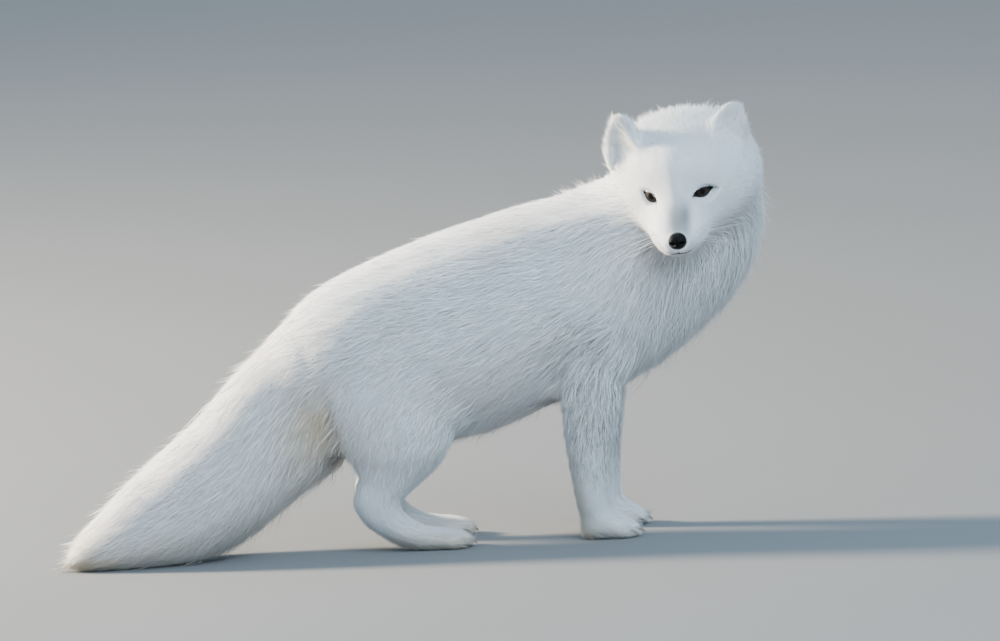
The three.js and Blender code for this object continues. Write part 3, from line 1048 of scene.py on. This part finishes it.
def tinted(share, below, above):
    """A mix of two colours, each a socket or plain numbers, by a share, which is a socket."""
    blend = add_node(share.id_data, "Mix", data_type="RGBA")
    for socket, value in ((0, share), (6, below), (7, above)):
        if isinstance(value, bpy.types.NodeSocket):
            connect(value, blend.inputs[socket])
        else:
            blend.inputs[socket].default_value = (*value, 1)
    return blend.outputs[2]


def noise(tree, scale, detail=4, vector=None):
    made = add_node(tree, "TexNoise", Scale=scale, Detail=detail)
    if vector is None:
        vector = add_node(tree, "TexCoord").outputs["Object"]
    connect(vector, made.inputs["Vector"])
    return made.outputs["Fac"]


def ranged(value, low, high, start, end):
    """A socket's value, from low to high, turned into one from start to end."""
    made = add_node(value.id_data, "MapRange")
    connect(value, made.inputs["Value"])
    for socket, number in (("From Min", low), ("From Max", high), ("To Min", start), ("To Max", end)):
        made.inputs[socket].default_value = number
    return made.outputs["Result"]


def bumped(shader, height, strength, distance):
    bump = add_node(shader.id_data, "Bump", Strength=strength, Distance=distance * MM)
    connect(height, bump.inputs["Height"])
    connect(bump.outputs["Normal"], shader.inputs["Normal"])


def coloured(shader, colour):
    connect(colour, shader.inputs["Base Color"])


WHITE = (0.95, 0.945, 0.93)
SHADOWED = (0.86, 0.868, 0.885)
CREAM = (0.66, 0.5, 0.3)
GREY = (0.2, 0.18, 0.17)
BARE = (0.022, 0.017, 0.016)


def marked_colour(tree):
    """White marked with cream, grey and bare dark skin, as the marks attribute says."""
    parts = add_node(tree, "SeparateColor")
    connect(stored(tree, "marks", "Color"), parts.inputs["Color"])
    colour = tinted(stored(tree, "marks", "Alpha"), SHADOWED, WHITE)
    colour = tinted(ranged(noise(tree, 260), 0.35, 0.7, 0, 0.3), colour, (0.96, 0.955, 0.945))
    for part, shade in (("Red", CREAM), ("Green", GREY), ("Blue", BARE)):
        colour = tinted(parts.outputs[part], colour, shade)
    return colour


fur_material, tree, shader = shader_of("fur", 0.7, Sheen_Weight=0.3, Sheen_Roughness=0.4)
# Painted shade: each tuft darkens a little towards its root, where the coat above shades it.
depth = ranged(stored(tree, "strand"), 0, 0.8, 0.05, 0)
coloured(shader, tinted(depth, marked_colour(tree), (0.7, 0.68, 0.65)))

skin_material, tree, shader = shader_of("skin", 0.8, Sheen_Weight=0.2, Sheen_Roughness=0.5)
coloured(shader, marked_colour(tree))
bumped(shader, noise(tree, 900, 6), 0.5, 0.6)

# Black leather of tiny pebbles, a little damp.
leather, tree, shader = shader_of("nose_leather", 0.6, Specular_IOR_Level=0.1)
coords = add_node(tree, "TexCoord").outputs["Object"]
pebbles = add_node(tree, "TexVoronoi", Scale=900.0)
connect(coords, pebbles.inputs["Vector"])
shade = ranged(pebbles.outputs["Distance"], 0, 0.6, 0, 1)
coloured(shader, tinted(shade, (0.009, 0.008, 0.008), (0.003, 0.003, 0.003)))
bumped(shader, pebbles.outputs["Distance"], 0.45, -0.35)

# A dark amber iris with fine spokes, a round pupil and a dark edge, under a clear cornea.
eye_material, tree, shader = shader_of(
    "iris", 0.4, Coat_Weight=0.3, Coat_Roughness=0.02, Specular_IOR_Level=0.05
)
fibres = noise(tree, 7.0, 6, stored(tree, "spoke", "Vector"))
colour = tinted(ranged(fibres, 0.35, 0.65, 0, 1), (0.008, 0.006, 0.004), (0.036, 0.022, 0.012))
# By the distance from the pupil's middle: the iris's dark edge, the white of the eye, and the pupil.
place = stored(tree, "place")
for *span, ring in (
    (4.2, 6.2, 0, 1, (0.006, 0.004, 0.004)),
    (6.3, 6.9, 0, 1, (0.03, 0.02, 0.018)),
    (2.3, 2.7, 1, 0, (0.002, 0.002, 0.002)),
):
    colour = tinted(ranged(place, *span), colour, ring)
coloured(shader, colour)


def speckled(name, roughness, scale, dark, light, grain=None, **constants):
    """A colour that wavers between two, with a grain: its noise's scale and detail, strength and depth."""
    made, tree, shader = shader_of(name, roughness, **constants)
    coloured(shader, tinted(noise(tree, scale), dark, light))
    if grain:
        bumped(shader, noise(tree, *grain[:2]), *grain[2:])
    return made


# The bare, dark, slightly damp skin of the lids and lips.
rim_skin = speckled(
    "lid_skin", 0.5, 700, (0.006, 0.005, 0.005), (0.016, 0.012, 0.012), (1500, 5, 0.5, 0.3),
    Coat_Weight=0.05, Coat_Roughness=0.4, Specular_IOR_Level=0.3,
)
horn = speckled(
    "claw_horn", 0.35, 450, (0.1, 0.075, 0.055), (0.32, 0.26, 0.2), (1400, 4, 0.4, 0.2), Coat_Weight=0.15
)
floor_material = speckled("studio_floor", 0.85, 1.5, (0.16, 0.16, 0.16), (0.175, 0.175, 0.175))
attribute(skin_object, "marks", marks)

# Every tuft: its root under the skin, its tip on the coat's outline, and the curve between.
SHORT_WIDTH = 0.38
LONG_WIDTH = 0.66
LENGTH_SPREAD = 0.2
STRAYS = 0.05
STRAY_LENGTH = 0.6
ROOT_DEPTH = 0.5 * MM
BENT_FROM = 9.0
BENT_SHARE = 0.1
LIE_SPREAD = math.radians(12)
LIE_WAVES = math.radians(7)
MOST_GATHER = 6 * MM
ROUNDING = 0.12


def grow():
    """Works out the tufts: their roots, middles, tips, widths, normals and marks."""
    root = at_roots(skin)
    normal = unit(at_roots(shade_normals))
    way = across(at_roots(lie), normal)
    length = at_roots(coat_length) * np.exp(rng.normal(0, LENGTH_SPREAD, len(root)))
    stray = rng.random(len(root)) < STRAYS
    length[stray] *= STRAY_LENGTH
    jitter = rng.normal(0, LIE_SPREAD, len(root)) + LIE_WAVES * waves(root, 30, 8)
    way = turned(way, normal, jitter)
    depth = at_roots(coat_depth)
    reach = at_roots(outer) + way * (length * 0.95)[:, None] * MM
    tip, tip_normal = nearest_on(outer_tree, reach)
    spacing = 2.2 + 0.06 * length
    leader = nearest_seed(root, spacing)
    strand_leader = nearest_seed(root, 1.2 + 0.03 * length)
    lock, own = rng.random((2, len(root)))
    locks = at_roots(coat_locks)
    rise = locks * (0.7 * lock[leader] ** 2 + 0.3 * own**3) + at_roots(coat_fuzz) * stray * (0.5 + own)
    rise += at_roots(coat_rise) * own - depth * rng.uniform(-0.08, 0.3, len(root))
    tip = mix(tip, reach, np.maximum(at_roots(coat_free), 0.8 * stray)) + tip_normal * (rise * MM)[:, None]
    pull = step(length, 2, 22) * (0.15 + 0.2 * step(locks, 1, 5)) * ~stray
    gather = (tip[leader] - tip) * pull[:, None]
    gather[norm(gather, axis=1) > MOST_GATHER] = 0
    tip = tip + gather
    middle = root + (tip - root) * 0.45 + normal * (0.2 * depth + 0.05 * length)[:, None] * MM
    for places in (tip, middle):
        places[:, 2] = np.maximum(places[:, 2], FLOOR_GAP)
    width = SHORT_WIDTH + (LONG_WIDTH - SHORT_WIDTH) * step(length, 4, 30)
    width = width * rng.uniform(0.75, 1.25, len(root))
    bent = (length > BENT_FROM) & (rng.random(len(root)) < BENT_SHARE)
    marks_here = at_roots(marks) * [1, 1, 0, 1]
    grey_lock = (lock[strand_leader] < at_roots(streaked)) * (own > 0.25)
    marks_here[:, 1] += grey_lock * (0.6 + 0.4 * own)
    tone = marks_here[:, 3] * 0.4 + 0.4 * lock[leader] + rng.uniform(0, 0.2, len(root))
    marks_here[:, 3] = np.clip(tone, 0, 1)
    rounding = (root - root[leader]) / (spacing * MM)[:, None]
    shade = normal * 0.6 + tip_normal * 0.4 + at_roots(upright)
    bulge = across(rounding + 1e-9, way) * (ROUNDING * norm(rounding, axis=1))[:, None]
    shade = unit(shade + bulge)
    return root - normal * ROOT_DEPTH, normal, way, bent, middle, tip, width, marks_here, shade


outer_tree = BVHTree.FromPolygons(outer.tolist(), skin_triangles.tolist())
(
    tuft_root, tuft_normal, tuft_way, tuft_bent, tuft_middle, tuft_tip, tuft_width, tuft_marks, tuft_shade
) = grow()

MOST_TRIANGLES = 199_000
FACE_BACK = -38


def coat_regions():
    """Each coat piece's name and its tufts."""
    shares = (is_head + is_ear, is_neck, is_trunk, is_tail, is_front_leg, is_hind_leg)
    region = np.stack([at_roots(share) for share in shares]).argmax(axis=0)
    face = (region == 0) & (at_roots(hx) > FACE_BACK)
    x, left, _ = in_trunk(tuft_root).T
    names = ("head", "neck", "trunk", "tail", "legs_front", "legs_hind")
    parts = {"coat_face": face, **{"coat_" + name: (region == k) & ~face for k, name in enumerate(names)}}
    for name, inside in parts.items():
        chosen = np.flatnonzero(inside)
        bent = tuft_bent[chosen]
        pieces = math.ceil((bent.sum() * 10 + (~bent).sum() * 4) / MOST_TRIANGLES)
        order = np.argsort(left[chosen] if "neck" in name or "legs" in name else x[chosen], kind="stable")
        for number, part in enumerate(np.array_split(chosen[order], pieces)):
            yield name if pieces == 1 else f"{name}_{number + 1}", part


for name, chosen in coat_regions():
    coat_piece(name, chosen)

# ---------------- camera, lights and floor
CAMERA = {"elevation": math.radians(7), "roll": math.radians(3.7), "distance": 15.0, "width": 0.9524}
FRAME_MIDDLE = trunk_at + np.array([110.6, 0, 209]) * MM


def add_camera():
    lens = bpy.data.cameras.new("camera")
    lens.sensor_width = 36
    lens.lens = lens.sensor_width * CAMERA["distance"] / CAMERA["width"]
    lens.clip_end = 200
    camera = linked("camera", lens)
    tilt = Matrix.Rotation(math.pi / 2 - CAMERA["elevation"], 4, "X")
    place = tilt @ Matrix.Rotation(-CAMERA["roll"], 4, "Z")
    place.translation = Vector(FRAME_MIDDLE) + place.col[2].xyz * CAMERA["distance"]
    camera.matrix_world = place
    bpy.context.scene.camera = camera


def add_light(name, at, size, power, colour):
    lamp = bpy.data.lights.new(name, "AREA")
    lamp.shape = "DISK"
    lamp.size = size
    lamp.energy = power
    lamp.color = colour
    light = linked(name, lamp)
    light.location = Vector(at) + Vector(FRAME_MIDDLE)
    light.rotation_euler = (-Vector(at)).to_track_quat("-Z", "Y").to_euler()


add_camera()
add_light("sun", (-3.7, 1.45, 1.35), 0.7, 1080, (1.0, 0.88, 0.7))
add_light("sky", (1.2, -3.2, 2.4), 3.0, 195, (0.67, 0.84, 1.0))
world = bpy.data.worlds.new("world")
bpy.context.scene.world = world
world.use_nodes = True
background = world.node_tree.nodes["Background"]
background.inputs["Color"].default_value = (0.54, 0.77, 1.0, 1)
background.inputs["Strength"].default_value = 1.2
FLOOR_HALF = 30.0
corners = np.array([[-1, -1, 0], [1, -1, 0], [1, 1, 0], [-1, 1, 0]]) * FLOOR_HALF
floor = new_object("floor", corners, [[0, 1, 2], [0, 2, 3]])
floor.data.materials.append(floor_material)
floor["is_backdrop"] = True

for pieces, material, slot in (
    ([skin_object], skin_material, "fur"),
    ([whiskers], fur_material, "fur"),
    ([nose], leather, "nose"),
    ([lips, *eyelids], rim_skin, "nose"),
    (eyes, eye_material, "eye"),
    (claws, horn, "claw"),
):
    for piece in pieces:
        piece.data.materials.append(material)
        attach(piece, "root")

size = {"cad": [list(corner) for corner in (cad_low, cad_high)]}
size["visual"] = [list(corner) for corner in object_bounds()]
